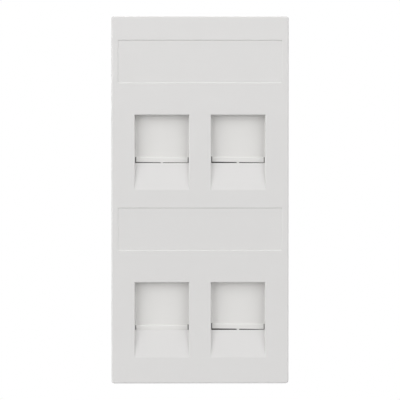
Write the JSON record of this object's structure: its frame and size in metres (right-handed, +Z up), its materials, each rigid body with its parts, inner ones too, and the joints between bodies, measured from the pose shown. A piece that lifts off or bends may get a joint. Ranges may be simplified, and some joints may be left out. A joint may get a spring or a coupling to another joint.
{
  "type": "keystone faceplate",
  "caption": "Upright white keystone faceplate with rows of sprung sliding dust shutters, a label recess over each row, and rear carriers for keystone jacks.",
  "frame": {"origin": "middle of the rear rim's plane, which meets the mounting frame", "axes": "+X to the right seen from the front, +Y into the wall, +Z up"},
  "size_m": [0.0524, 0.0152, 0.1082],
  "materials": {
    "white_plastic": "satin moulded ABS, off-white",
    "black_plastic": "satin moulded ABS, black",
    "spring_steel": "drawn wire",
    "plated_steel": "zinc plated"
  },
  "bodies": {
    "plate": {"front_plate": "white_plastic", "keystone_carrier_upper_left": "black_plastic", "carrier_screw_upper_left_top": "plated_steel", "carrier_screw_upper_left_bottom": "plated_steel", "shutter_spring_upper_left": "spring_steel", "keystone_carrier_upper_right": "black_plastic", "carrier_screw_upper_right_top": "plated_steel", "carrier_screw_upper_right_bottom": "plated_steel", "shutter_spring_upper_right": "spring_steel", "keystone_carrier_lower_left": "black_plastic", "carrier_screw_lower_left_top": "plated_steel", "carrier_screw_lower_left_bottom": "plated_steel", "shutter_spring_lower_left": "spring_steel", "keystone_carrier_lower_right": "black_plastic", "carrier_screw_lower_right_top": "plated_steel", "carrier_screw_lower_right_bottom": "plated_steel", "shutter_spring_lower_right": "spring_steel"},
    "shutter_upper_left": {"shutter_upper_left": "white_plastic"},
    "shutter_upper_right": {"shutter_upper_right": "white_plastic"},
    "shutter_lower_left": {"shutter_lower_left": "white_plastic"},
    "shutter_lower_right": {"shutter_lower_right": "white_plastic"}
  },
  "joints": [
    {"name": "shutter_upper_left_slide", "type": "slide", "parent": "plate", "child": "shutter_upper_left", "axis": [0, 0, 1], "range_m": [0, 0.01202], "stiffness_N_per_m": 50, "springref_m": -0.008, "deforming": ["shutter_spring_upper_left"]},
    {"name": "shutter_upper_right_slide", "type": "slide", "parent": "plate", "child": "shutter_upper_right", "axis": [0, 0, 1], "range_m": [0, 0.01195], "stiffness_N_per_m": 50, "springref_m": -0.008, "deforming": ["shutter_spring_upper_right"]},
    {"name": "shutter_lower_left_slide", "type": "slide", "parent": "plate", "child": "shutter_lower_left", "axis": [0, 0, 1], "range_m": [0, 0.01235], "stiffness_N_per_m": 50, "springref_m": -0.008, "deforming": ["shutter_spring_lower_left"]},
    {"name": "shutter_lower_right_slide", "type": "slide", "parent": "plate", "child": "shutter_lower_right", "axis": [0, 0, 1], "range_m": [0, 0.01195], "stiffness_N_per_m": 50, "springref_m": -0.008, "deforming": ["shutter_spring_lower_right"]}
  ]
}
